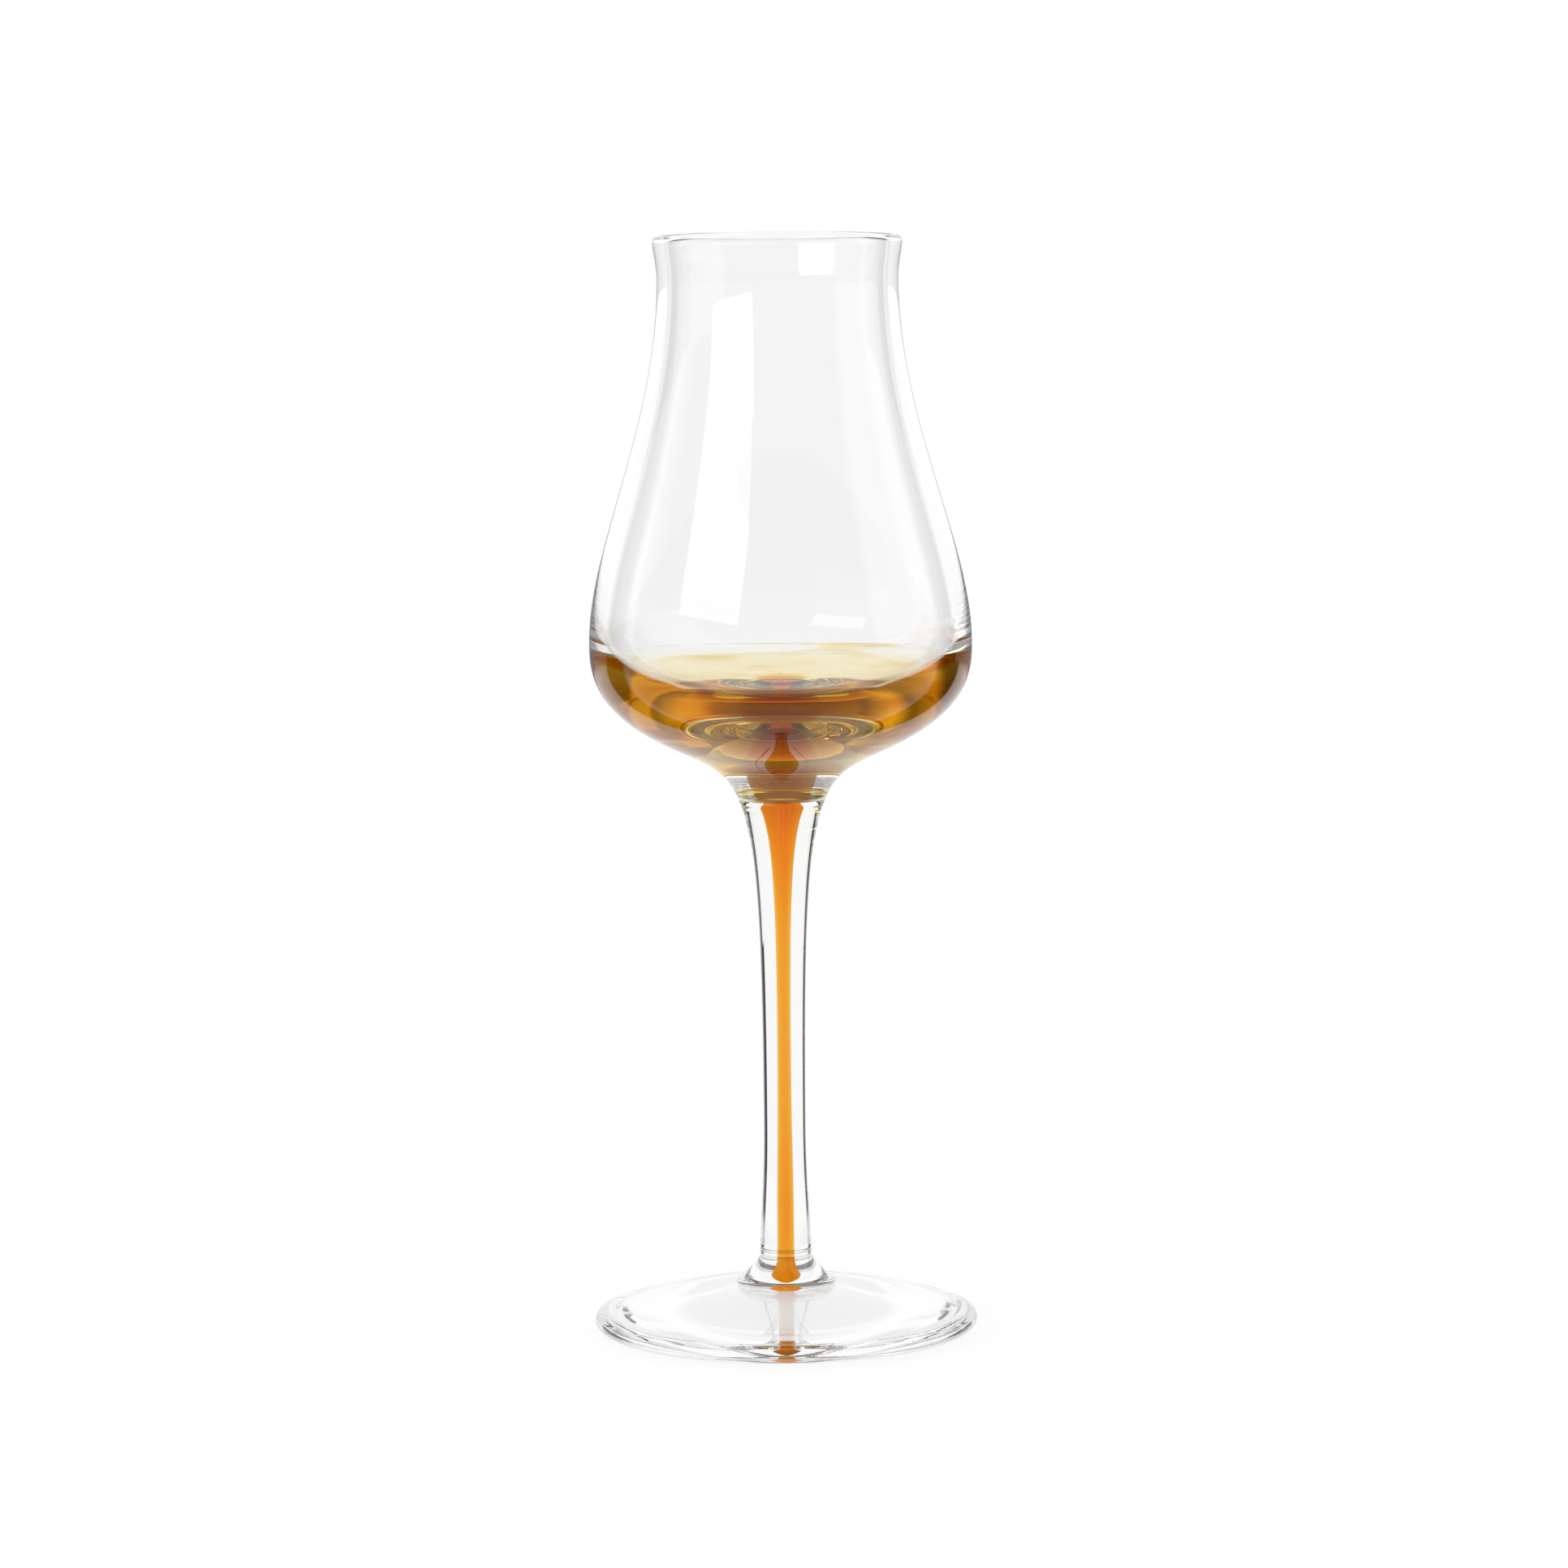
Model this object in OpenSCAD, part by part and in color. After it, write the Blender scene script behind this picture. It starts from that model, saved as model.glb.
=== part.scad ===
// Stemmed tulip glass for spirits: a blown bowl on a drawn stem, with an amber core and a spun foot.
// All sizes are in millimetres. The axis of the glass is Z and the table is the plane z = 0.

/* [Foot] */
// Largest diameter of the foot
foot_d = 69.8; // [64:0.2:84]
// Height of the foot where the knop sits on it
foot_h = 8.8; // [7.6:0.1:11]
// Height of the foot's upper edge, where its crown turns into the rim
foot_edge_h = 4.8; // [3.4:0.1:6]
// Diameter of that upper edge
foot_crown_d = 61.6; // [50:0.2:66]
// Slope of the crown beside the knop, in degrees
crown_slope = 1; // [0:1:8]
// Slope of the crown at its upper edge, in degrees
edge_slope = 18; // [12:1:30]
// Height of the foot's widest ring
foot_bulge_h = 2.3; // [1.5:0.1:3]
// Outer diameter of the flat ring that stands on the table
rest_d = 60; // [46:0.5:63]
// Width of that flat ring
rest_w = 1.2; // [1:0.1:4]
// Thickness of the foot's glass between the knop and the hollow under the foot
under_t = 0.7; // [0.5:0.1:2.5]

/* [Knop] */
// Largest diameter of the knop
knop_d = 18.2; // [15:0.2:24]
// Height of the knop between foot and stem
knop_h = 5.6; // [4.4:0.1:9]
// Radius of the knop's rounded edge
knop_round = 0.7; // [0.4:0.05:1]
// Slope of the knop's side where it runs out into that edge, in degrees
knop_slope = 30; // [15:1:45]
// Angle by which the edge turns in under its widest ring, in degrees
knop_tuck = 60; // [30:5:85]
// Depth to which the knop is sunk in the foot
knop_sunk = 3.3; // [2.8:0.1:4]
// Diameter of the sunk end of the knop
knop_end_d = 12; // [8:0.2:13]

/* [Stem] */
// Length of the stem from the knop to the bowl
stem_h = 83.6; // [60:0.2:110]
// Diameter of the stem at the knop
stem_foot_d = 9.4; // [8:0.1:12]
// Diameter of the stem at its thinnest place
stem_waist_d = 7.7; // [6:0.1:9.4]
// Height of that place above the knop
stem_waist_h = 24; // [14:0.5:40]
// Diameter of the stem where it opens into the bowl
stem_top_d = 15.8; // [12:0.1:20]
// Lean of the stem's outline there, in degrees from upright
stem_flare = 23; // [12:1:34]

/* [Bowl] */
// Height of the bowl from the stem to the lip
bowl_h = 102; // [84:0.5:120]
// Diameter of the underside where its curve turns over
shoulder_d = 39.7; // [32:0.1:46]
// Height of that turn above the stem
shoulder_h = 9.5; // [8:0.1:12]
// Slope of the underside there, in degrees
shoulder_slope = 25; // [15:1:35]
// Largest diameter of the bowl
bowl_d = 69.3; // [58:0.1:80]
// Height of the widest ring above the stem
belly_h = 28.6; // [25:0.1:34]
// Diameter of the neck
neck_d = 43.5; // [38:0.1:50]
// Drop of the neck below the lip
neck_drop = 7.8; // [5:0.1:12]
// Outer diameter of the lip
lip_d = 45; // [40:0.1:52]
// Thickness of the rounded lip
lip_t = 2.1; // [1.4:0.1:2.8]
// Thickness of the wall
wall_t = 1.9; // [1.3:0.1:2.8]
// Height of the inside floor above the stem
floor_h = 16.2; // [14:0.1:20]
// Lift of the inside's widest ring above the outside's
inside_lift = 3; // [1:0.1:6]

/* [Amber] */
// Thickness of the clear skin between the amber and the inside
skin_t = 0.4; // [0.2:0.05:0.7]
// Depth of the amber under the skin at the middle of the floor
amber_t = 1.4; // [0.6:0.1:2.4]
// Share of the floor's curve that stays clear, from the wall inwards
clear_share = 0.28; // [0.2:0.02:0.5]
// Share of that curve at which the amber turns down into the funnel
trumpet_share = 0.9; // [0.65:0.05:0.95]
// Diameter of the amber where it enters the stem
funnel_d = 5.6; // [3.4:0.1:7]
// Lean of the funnel's side there, in degrees from upright
funnel_flare = 15; // [6:1:20]
// Diameter of the thread at its thinnest place
thread_d = 1.7; // [1:0.05:2.6]
// Height of that place above the knop
thread_waist_h = 38; // [20:0.5:56]
// Diameter of the thread at the foot of the stem
thread_foot_d = 2.1; // [1.4:0.05:3]
// Largest diameter of the bead at the thread's end
bead_d = 3.9; // [3:0.05:5]
// Depth of the bead's widest ring below the top of the foot
bead_sunk = 0.5; // [0:0.1:1.2]
// Thickness of the knop's glass under the bead's tip
bead_cover = 0.4; // [0.2:0.1:1]

/* [Hidden] */
$fn = 96;

// Colours of the three glasses
clear_glass = [0.90, 0.93, 0.94, 0.35];
amber_glass = [0.80, 0.50, 0.08, 0.80];
orange_glass = [0.98, 0.60, 0.12];

// Heights above the table
stem_foot_z = foot_h + knop_h;
stem_waist_z = stem_foot_z + stem_waist_h;
stem_top_z = stem_foot_z + stem_h;
shoulder_z = stem_top_z + shoulder_h;
floor_z = stem_top_z + floor_h;
belly_z = stem_top_z + belly_h;
inside_belly_z = belly_z + inside_lift;
lip_z = stem_top_z + bowl_h;
neck_z = lip_z - neck_drop;
thread_waist_z = stem_foot_z + thread_waist_h;
knop_end_z = foot_h - knop_sunk;
hollow_z = knop_end_z - under_t;
bead_z = foot_h - bead_sunk;
bead_tip_z = knop_end_z + bead_cover;

// How far each curve holds its direction at an end, as a share of its rise or its run
neck_hold = 0.40;
belly_hold = 0.27;
lip_hold = 0.35;
under_hold = 0.98;
turn_hold = 0.65;
flare_hold = 0.14;
waist_hold = 0.62;
foot_hold = 0.5;
floor_hold = 0.62;
corner_hold = 0.85;
trumpet_hold = 0.5;
funnel_hold = 0.65;
core_hold = 0.75;
bead_hold = 0.1;
tip_hold = 0.35;
knop_hold = 0.2;
spread_hold = 0.4;
crown_hold = 0.33;
edge_hold = 0.7;
rest_hold = 0.4;
round_hold = 0.55;

// Number of steps in each curve
long_steps = 28;
short_steps = 12;

// Unit vectors in the plane of a profile, written as [radius, height]
up = [0, 1];
out = [1, 0];
// Angles of straight up and straight in, counted from straight out
upward = 90;
inward = 180;
function along(angle) = [cos(angle), sin(angle)];
function leaning(angle) = [sin(angle), cos(angle)];

// Points of a cubic curve from a to d, drawn towards b and c on the way, between two shares of its run
function curve(a, b, c, d, steps, from = 0, to = 1) = [
    for (i = [0 : steps])
        let (t = from + (to - from) * i / steps, s = 1 - t)
        s*s*s*a + 3*s*s*t*b + 3*s*t*t*c + t*t*t*d
];

// Points of a round stretch between two angles, which are counted from straight out
function arc(centre, radius, start, end) = [
    for (i = [0 : short_steps])
        centre + radius * along(start + (end - start) * i / short_steps)
];

// A profile's points with those that follow each other closer than a hair taken out
hair = 0.0001;
function joined(points) = [
    for (i = [0 : len(points) - 1])
        if (i == 0 || norm(points[i] - points[i - 1]) > hair) points[i]
];
function reversed(points) = [for (i = [len(points) - 1 : -1 : 0]) points[i]];

// Outline of the bowl's outside, from the stem up to the lip
shoulder_p = [shoulder_d / 2, shoulder_z];
stem_top_p = [stem_top_d / 2, stem_top_z];
belly_p = [bowl_d / 2, belly_z];
neck_p = [neck_d / 2, neck_z];
lip_p = [lip_d / 2, lip_z - lip_t / 2];
under_run = (bowl_d - shoulder_d) / 2 / cos(shoulder_slope);
bowl_outside = joined(concat(
    curve(
        stem_top_p,
        stem_top_p + turn_hold * shoulder_h * leaning(stem_flare),
        shoulder_p - turn_hold * shoulder_h * along(shoulder_slope),
        shoulder_p,
        short_steps
    ),
    curve(
        shoulder_p,
        shoulder_p + under_hold * under_run * along(shoulder_slope),
        belly_p - belly_hold * (belly_z - shoulder_z) * up,
        belly_p,
        long_steps
    ),
    curve(
        belly_p,
        belly_p + belly_hold * (neck_z - belly_z) * up,
        neck_p - neck_hold * (neck_z - belly_z) * up,
        neck_p,
        long_steps
    ),
    curve(
        neck_p,
        neck_p + lip_hold * neck_drop * up,
        lip_p - lip_hold / 2 * neck_drop * up,
        lip_p,
        short_steps
    )
));

// Round top of the lip, from its outside to its inside
lip_centre = lip_p - lip_t / 2 * out;
lip_round = arc(lip_centre, lip_t / 2, 0, inward);

// Inside of the bowl above its widest ring, from the lip down
inside_lip_p = lip_p - lip_t * out;
inside_neck_p = neck_p - wall_t * out;
inside_belly_p = [bowl_d / 2 - wall_t, inside_belly_z];
bowl_inside = joined(concat(
    curve(
        inside_lip_p,
        inside_lip_p - lip_hold / 2 * neck_drop * up,
        inside_neck_p + lip_hold * neck_drop * up,
        inside_neck_p,
        short_steps
    ),
    curve(
        inside_neck_p,
        inside_neck_p - neck_hold * (neck_z - inside_belly_z) * up,
        inside_belly_p + belly_hold * (neck_z - inside_belly_z) * up,
        inside_belly_p,
        long_steps
    )
));

// A dished face from a ring at the wall down to the middle, as of the inside's floor
function dished(ring_p, middle_z, from = 0, to = 1) = curve(
    ring_p,
    ring_p - corner_hold * (ring_p[1] - middle_z) * up,
    [floor_hold * ring_p[0], middle_z],
    [0, middle_z],
    long_steps,
    from,
    to
);
bowl_floor = dished(inside_belly_p, floor_z);

// Upper face of the amber, a skin's thickness under the floor
amber_ring_p = inside_belly_p + skin_t * out;
amber_top_z = floor_z - skin_t;
amber_top = dished(amber_ring_p, amber_top_z, clear_share);

// Lower face of the amber: a thin lining under the floor, which turns down as a trumpet into the stem
lining = dished(amber_ring_p, amber_top_z - amber_t, clear_share, trumpet_share);
trumpet_p = lining[long_steps];
trumpet_way = trumpet_p - lining[long_steps - 1];
funnel_p = [funnel_d / 2, stem_top_z];
amber_under = joined(concat(
    [amber_top[0]],
    lining,
    curve(
        trumpet_p,
        trumpet_p + trumpet_hold * (trumpet_p[0] - funnel_p[0]) * trumpet_way / norm(trumpet_way),
        funnel_p + funnel_hold * (trumpet_p[1] - stem_top_z) * leaning(funnel_flare),
        funnel_p,
        long_steps
    )
));

// Outline of the stem, from the bowl down to the knop
stem_waist_p = [stem_waist_d / 2, stem_waist_z];
stem_foot_p = [stem_foot_d / 2, stem_foot_z];
stem_outside = joined(concat(
    curve(
        stem_top_p,
        stem_top_p - flare_hold * (stem_top_z - stem_waist_z) * leaning(stem_flare),
        stem_waist_p + waist_hold * (stem_top_z - stem_waist_z) * up,
        stem_waist_p,
        long_steps
    ),
    curve(
        stem_waist_p,
        stem_waist_p - foot_hold * stem_waist_h * up,
        stem_foot_p + foot_hold / 2 * stem_waist_h * up,
        stem_foot_p,
        short_steps
    )
));

// Face between the thread and the stem, from the bowl down to the knop
thread_waist_p = [thread_d / 2, thread_waist_z];
thread_foot_p = [thread_foot_d / 2, stem_foot_z];
thread_side = joined(concat(
    curve(
        funnel_p,
        funnel_p - flare_hold * (stem_top_z - thread_waist_z) * leaning(funnel_flare),
        thread_waist_p + waist_hold * (stem_top_z - thread_waist_z) * up,
        thread_waist_p,
        long_steps
    ),
    curve(
        thread_waist_p,
        thread_waist_p - foot_hold * thread_waist_h * up,
        thread_foot_p + foot_hold * thread_waist_h * up,
        thread_foot_p,
        short_steps
    )
));

// Face between the bead and the knop, from the stem down to the bead's tip
bead_p = [bead_d / 2, bead_z];
bead_tip = [0, bead_tip_z];
bead_drop = stem_foot_z - bead_z;
bead_side = joined(concat(
    curve(
        thread_foot_p,
        thread_foot_p - core_hold * bead_drop * up,
        bead_p + bead_hold * bead_drop * up,
        bead_p,
        short_steps
    ),
    curve(
        bead_p,
        bead_p - tip_hold * (bead_z - bead_tip_z) * up,
        bead_tip + tip_hold * bead_d / 2 * out,
        bead_tip,
        short_steps
    )
));

// Outline of the knop, from the stem down its spread side and round its edge to the foot
knop_centre = [knop_d / 2 - knop_round, foot_h + knop_round * sin(knop_tuck)];
knop_edge = arc(knop_centre, knop_round, upward - knop_slope, -knop_tuck);
knop_p = knop_edge[short_steps];
knop_side = joined(concat(
    curve(
        stem_foot_p,
        stem_foot_p - knop_hold * knop_h * up,
        knop_edge[0] + spread_hold * knop_h * along(inward - knop_slope),
        knop_edge[0],
        short_steps
    ),
    knop_edge
));

// Seat of the knop in the foot, from the foot's top to the axis
knop_seat = concat(
    [knop_p],
    curve(
        [knop_end_d / 2, foot_h],
        [knop_end_d / 2, foot_h - round_hold * knop_sunk],
        [round_hold * knop_end_d / 2, knop_end_z],
        [0, knop_end_z],
        short_steps
    )
);

// Outline of the foot, from the knop over its crown and rim to the ring that stands on the table
foot_crown_p = [foot_crown_d / 2, foot_edge_h];
foot_bulge_p = [foot_d / 2, foot_bulge_h];
rest_p = [rest_d / 2, 0];
crown_run = foot_crown_p[0] - knop_p[0];
foot_outside = joined(concat(
    curve(
        knop_p,
        knop_p + crown_hold * crown_run * [1, -tan(crown_slope)],
        foot_crown_p - crown_hold * crown_run * [1, -tan(edge_slope)],
        foot_crown_p,
        long_steps
    ),
    curve(
        foot_crown_p,
        foot_crown_p + edge_hold * (foot_d - foot_crown_d) / 2 * [1, -tan(edge_slope)],
        foot_bulge_p + edge_hold * (foot_edge_h - foot_bulge_h) * up,
        foot_bulge_p,
        short_steps
    ),
    curve(
        foot_bulge_p,
        foot_bulge_p - edge_hold * foot_bulge_h * up,
        rest_p + rest_hold * (foot_d - rest_d) / 2 * out,
        rest_p,
        short_steps
    )
));

// Hollow under the foot, from the standing ring to the middle
ring_p = [rest_d / 2 - rest_w, 0];
hollow_p = [0, hollow_z];
foot_hollow = curve(
    ring_p,
    ring_p + round_hold * (hollow_p - ring_p),
    hollow_p + round_hold * ring_p[0] * out,
    hollow_p,
    short_steps
);

// A solid of revolution from the points of half its section
module turned(section) {
    rotate_extrude() polygon(joined(section));
}

// Clear blown bowl with its flared, fire-polished lip, cased over the amber on both sides
module bowl() {
    color(clear_glass)
        turned(concat(
            bowl_outside,
            lip_round,
            bowl_inside,
            bowl_floor,
            reversed(amber_top),
            amber_under
        ));
}

// Thin amber gather under the floor of the bowl, which runs down into the stem
module amber_base() {
    color(amber_glass)
        turned(concat(reversed(amber_top), amber_under, [[0, stem_top_z]]));
}

// Amber thread drawn through the stem, with the bead at its end
module amber_thread() {
    color(orange_glass)
        turned(concat([[0, stem_top_z]], thread_side, bead_side));
}

// Clear drawn stem around the thread
module stem() {
    color(clear_glass)
        turned(concat(reversed(thread_side), stem_outside));
}

// Clear gather that holds the stem on the foot
module foot_knop() {
    color(clear_glass)
        turned(concat(reversed(bead_side), knop_side, knop_seat));
}

// Clear spun foot with its round rim and hollow underside
module foot() {
    color(clear_glass)
        turned(concat(reversed(knop_seat), foot_outside, foot_hollow));
}

bowl();
amber_base();
amber_thread();
stem();
foot_knop();
foot();
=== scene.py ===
"""A stemmed tulip glass for spirits: clear blown bowl, stem and foot, with amber glass cased inside them."""

import math

import bpy
from mathutils import Matrix, Vector


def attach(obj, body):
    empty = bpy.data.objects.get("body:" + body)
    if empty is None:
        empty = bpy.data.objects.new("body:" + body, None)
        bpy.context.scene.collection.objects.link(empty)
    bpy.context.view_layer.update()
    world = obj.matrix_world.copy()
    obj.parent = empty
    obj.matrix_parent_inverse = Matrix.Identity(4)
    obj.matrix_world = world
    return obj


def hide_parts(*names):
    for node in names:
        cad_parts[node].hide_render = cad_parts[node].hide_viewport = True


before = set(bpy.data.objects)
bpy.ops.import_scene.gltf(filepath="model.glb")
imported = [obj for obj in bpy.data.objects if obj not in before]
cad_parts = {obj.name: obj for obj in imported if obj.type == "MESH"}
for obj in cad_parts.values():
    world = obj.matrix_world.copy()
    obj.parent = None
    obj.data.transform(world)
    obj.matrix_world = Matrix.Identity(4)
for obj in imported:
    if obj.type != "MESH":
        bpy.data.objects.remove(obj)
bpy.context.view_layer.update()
bpy.ops.object.select_all(action="DESELECT")

MM = 0.001
FULL_TURN = 2 * math.pi
RIGHT_ANGLE = 90

# Sizes of the glass in millimetres, and slopes, flares and tucks in degrees, as in the solids
FOOT_D, FOOT_H, FOOT_EDGE_H, FOOT_CROWN_D = 69.8, 8.8, 4.8, 61.6
CROWN_SLOPE, EDGE_SLOPE, FOOT_BULGE_H = 1, 18, 2.3
REST_D, REST_W, UNDER_T = 60, 1.2, 0.7
KNOP_D, KNOP_H, KNOP_ROUND, KNOP_SLOPE, KNOP_TUCK = 18.2, 5.6, 0.7, 30, 60
KNOP_SUNK, KNOP_END_D = 3.3, 12
STEM_H, STEM_FOOT_D, STEM_WAIST_D, STEM_WAIST_H = 83.6, 9.4, 7.7, 24
STEM_TOP_D, STEM_FLARE = 15.8, 23
BOWL_H, SHOULDER_D, SHOULDER_H, SHOULDER_SLOPE = 102, 39.7, 9.5, 25
BOWL_D, BELLY_H, NECK_D, NECK_DROP = 69.3, 28.6, 43.5, 7.8
LIP_D, LIP_T, WALL_T, FLOOR_H, INSIDE_LIFT = 45, 2.1, 1.9, 16.2, 3
SKIN_T, AMBER_T, CLEAR_SHARE, TRUMPET_SHARE = 0.4, 1.4, 0.28, 0.9
FUNNEL_D, FUNNEL_FLARE = 5.6, 15
THREAD_D, THREAD_WAIST_H, THREAD_FOOT_D = 1.7, 38, 2.1
BEAD_D, BEAD_SUNK, BEAD_COVER = 3.9, 0.5, 0.4

# How far each curve holds its direction at an end
NECK_HOLD, BELLY_HOLD, LIP_HOLD, UNDER_HOLD, TURN_HOLD = 0.40, 0.27, 0.35, 0.98, 0.65
FLARE_HOLD, WAIST_HOLD, BASE_HOLD, FLOOR_HOLD, CORNER_HOLD = 0.14, 0.62, 0.5, 0.62, 0.85
TRUMPET_HOLD, FUNNEL_HOLD, CROWN_HOLD = 0.5, 0.65, 0.33
KNOP_HOLD, SPREAD_HOLD, CORE_HOLD, BEAD_HOLD, TIP_HOLD = 0.2, 0.4, 0.75, 0.1, 0.35
EDGE_HOLD, REST_HOLD, ROUND_HOLD = 0.7, 0.4, 0.55

# The amber thins out up the wall: the share of its run where that starts, how far the curve holds its
# direction, and its edge as a share of the solid's narrow edge
FEATHER_SHARE, FEATHER_HOLD, FEATHER_T = 0.58, 0.33, 0.15

# Heights above the table
STEM_FOOT_Z = FOOT_H + KNOP_H
STEM_WAIST_Z = STEM_FOOT_Z + STEM_WAIST_H
STEM_TOP_Z = STEM_FOOT_Z + STEM_H
SHOULDER_Z = STEM_TOP_Z + SHOULDER_H
FLOOR_Z = STEM_TOP_Z + FLOOR_H
BELLY_Z = STEM_TOP_Z + BELLY_H
INSIDE_BELLY_Z = BELLY_Z + INSIDE_LIFT
LIP_Z = STEM_TOP_Z + BOWL_H
NECK_Z = LIP_Z - NECK_DROP
THREAD_WAIST_Z = STEM_FOOT_Z + THREAD_WAIST_H
KNOP_END_Z = FOOT_H - KNOP_SUNK
HOLLOW_Z = KNOP_END_Z - UNDER_T
BEAD_Z = FOOT_H - BEAD_SUNK
BEAD_TIP_Z = KNOP_END_Z + BEAD_COVER

# Smoothness of the blown surfaces
TURN_STEPS = 192
STROKE_STEPS = 24
# In metres: places closer than WELD are one, and a cased piece stays a HAIR off its casing
WELD = 4e-7
HAIR = 2e-5

UP, OUT = Vector((0, 1)), Vector((1, 0))


def along(angle):
    """The direction at an angle above straight out."""
    return Vector((math.cos(math.radians(angle)), math.sin(math.radians(angle))))


def leaning(angle):
    """The direction that leans out from upright by an angle."""
    return Vector((math.sin(math.radians(angle)), math.cos(math.radians(angle))))


def at(radius, height):
    return Vector((radius, height))


# A stroke is a curve, given by its start, the two places that it is drawn towards and its end
def line(a, d):
    return (a, a.lerp(d, 1 / 3), a.lerp(d, 2 / 3), d)


def part(stroke, start, end):
    """The stretch of a stroke between two shares of its run."""
    def halves(a, b, c, d, t):
        ab, bc, cd = a.lerp(b, t), b.lerp(c, t), c.lerp(d, t)
        abc, bcd = ab.lerp(bc, t), bc.lerp(cd, t)
        middle = abc.lerp(bcd, t)
        return (a, ab, abc, middle), (middle, bcd, cd, d)
    first = halves(*stroke, end)[0]
    return halves(*first, start / end)[1]


def back(strokes):
    """The same strokes, run from their end to their start."""
    return [stroke[::-1] for stroke in reversed(strokes)]


def arc(centre, radius, start, end):
    """A round stretch between two angles, which are counted from straight out."""
    hold = 4 / 3 * math.tan(math.radians(end - start) / 4) * radius
    a, d = centre + radius * along(start), centre + radius * along(end)
    return (a, a + hold * along(start + RIGHT_ANGLE), d - hold * along(end + RIGHT_ANGLE), d)


# Places on the half section, as (radius, height)
STEM_TOP = at(STEM_TOP_D / 2, STEM_TOP_Z)
SHOULDER = at(SHOULDER_D / 2, SHOULDER_Z)
BELLY = at(BOWL_D / 2, BELLY_Z)
NECK = at(NECK_D / 2, NECK_Z)
LIP = at(LIP_D / 2, LIP_Z - LIP_T / 2)
LIP_CENTRE = LIP - LIP_T / 2 * OUT
INSIDE_LIP = LIP - LIP_T * OUT
INSIDE_NECK = NECK - WALL_T * OUT
INSIDE_BELLY = at(BOWL_D / 2 - WALL_T, INSIDE_BELLY_Z)
FLOOR = at(0, FLOOR_Z)
AMBER_RING = INSIDE_BELLY + SKIN_T * OUT
AMBER_MIDDLE = FLOOR - SKIN_T * UP
FUNNEL = at(FUNNEL_D / 2, STEM_TOP_Z)
FUNNEL_MIDDLE = at(0, STEM_TOP_Z)
STEM_WAIST = at(STEM_WAIST_D / 2, STEM_WAIST_Z)
STEM_FOOT = at(STEM_FOOT_D / 2, STEM_FOOT_Z)
THREAD_WAIST = at(THREAD_D / 2, THREAD_WAIST_Z)
THREAD_FOOT = at(THREAD_FOOT_D / 2, STEM_FOOT_Z)
BEAD = at(BEAD_D / 2, BEAD_Z)
BEAD_TIP = at(0, BEAD_TIP_Z)
KNOP_CENTRE = at(KNOP_D / 2 - KNOP_ROUND, FOOT_H + KNOP_ROUND * math.sin(math.radians(KNOP_TUCK)))
KNOP_EDGE = KNOP_CENTRE + KNOP_ROUND * along(RIGHT_ANGLE - KNOP_SLOPE)
KNOP = KNOP_CENTRE + KNOP_ROUND * along(-KNOP_TUCK)
KNOP_SEAT = at(KNOP_END_D / 2, FOOT_H)
KNOP_END = at(0, KNOP_END_Z)
FOOT_CROWN = at(FOOT_CROWN_D / 2, FOOT_EDGE_H)
FOOT_BULGE = at(FOOT_D / 2, FOOT_BULGE_H)
REST = at(REST_D / 2, 0)
REST_RING = at(REST_D / 2 - REST_W, 0)
HOLLOW = at(0, HOLLOW_Z)


def dished(ring, middle):
    """A stroke from a ring on the wall to the middle of a rounded floor."""
    corner = ring - CORNER_HOLD * (ring.y - middle.y) * UP
    return (ring, corner, at(FLOOR_HOLD * ring.x, middle.y), middle)


UNDER_RUN = (BOWL_D - SHOULDER_D) / 2 / math.cos(math.radians(SHOULDER_SLOPE))
NECK_RISE = NECK_Z - BELLY_Z
INSIDE_RISE = NECK_Z - INSIDE_BELLY_Z
bowl_polished = [
    (STEM_TOP, STEM_TOP + TURN_HOLD * SHOULDER_H * leaning(STEM_FLARE),
     SHOULDER - TURN_HOLD * SHOULDER_H * along(SHOULDER_SLOPE), SHOULDER),
    (SHOULDER, SHOULDER + UNDER_HOLD * UNDER_RUN * along(SHOULDER_SLOPE),
     BELLY - BELLY_HOLD * (BELLY_Z - SHOULDER_Z) * UP, BELLY),
    (BELLY, BELLY + BELLY_HOLD * NECK_RISE * UP, NECK - NECK_HOLD * NECK_RISE * UP, NECK),
    (NECK, NECK + LIP_HOLD * NECK_DROP * UP, LIP - LIP_HOLD / 2 * NECK_DROP * UP, LIP),
    arc(LIP_CENTRE, LIP_T / 2, 0, RIGHT_ANGLE),
    arc(LIP_CENTRE, LIP_T / 2, RIGHT_ANGLE, 2 * RIGHT_ANGLE),
    (INSIDE_LIP, INSIDE_LIP - LIP_HOLD / 2 * NECK_DROP * UP,
     INSIDE_NECK + LIP_HOLD * NECK_DROP * UP, INSIDE_NECK),
    (INSIDE_NECK, INSIDE_NECK - NECK_HOLD * INSIDE_RISE * UP,
     INSIDE_BELLY + BELLY_HOLD * INSIDE_RISE * UP, INSIDE_BELLY),
    dished(INSIDE_BELLY, FLOOR),
]
amber_top = [part(dished(AMBER_RING, AMBER_MIDDLE), CLEAR_SHARE, 1)]
amber_bottom = dished(AMBER_RING, AMBER_MIDDLE - AMBER_T * UP)
lining = part(amber_bottom, FEATHER_SHARE, TRUMPET_SHARE)
TRUMPET = lining[3]
AMBER_EDGE = amber_top[0][0]
FEATHER = AMBER_EDGE.lerp(part(amber_bottom, CLEAR_SHARE, 1)[0], FEATHER_T)
FEATHER_RUN = FEATHER_HOLD * (lining[0] - FEATHER).length
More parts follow.
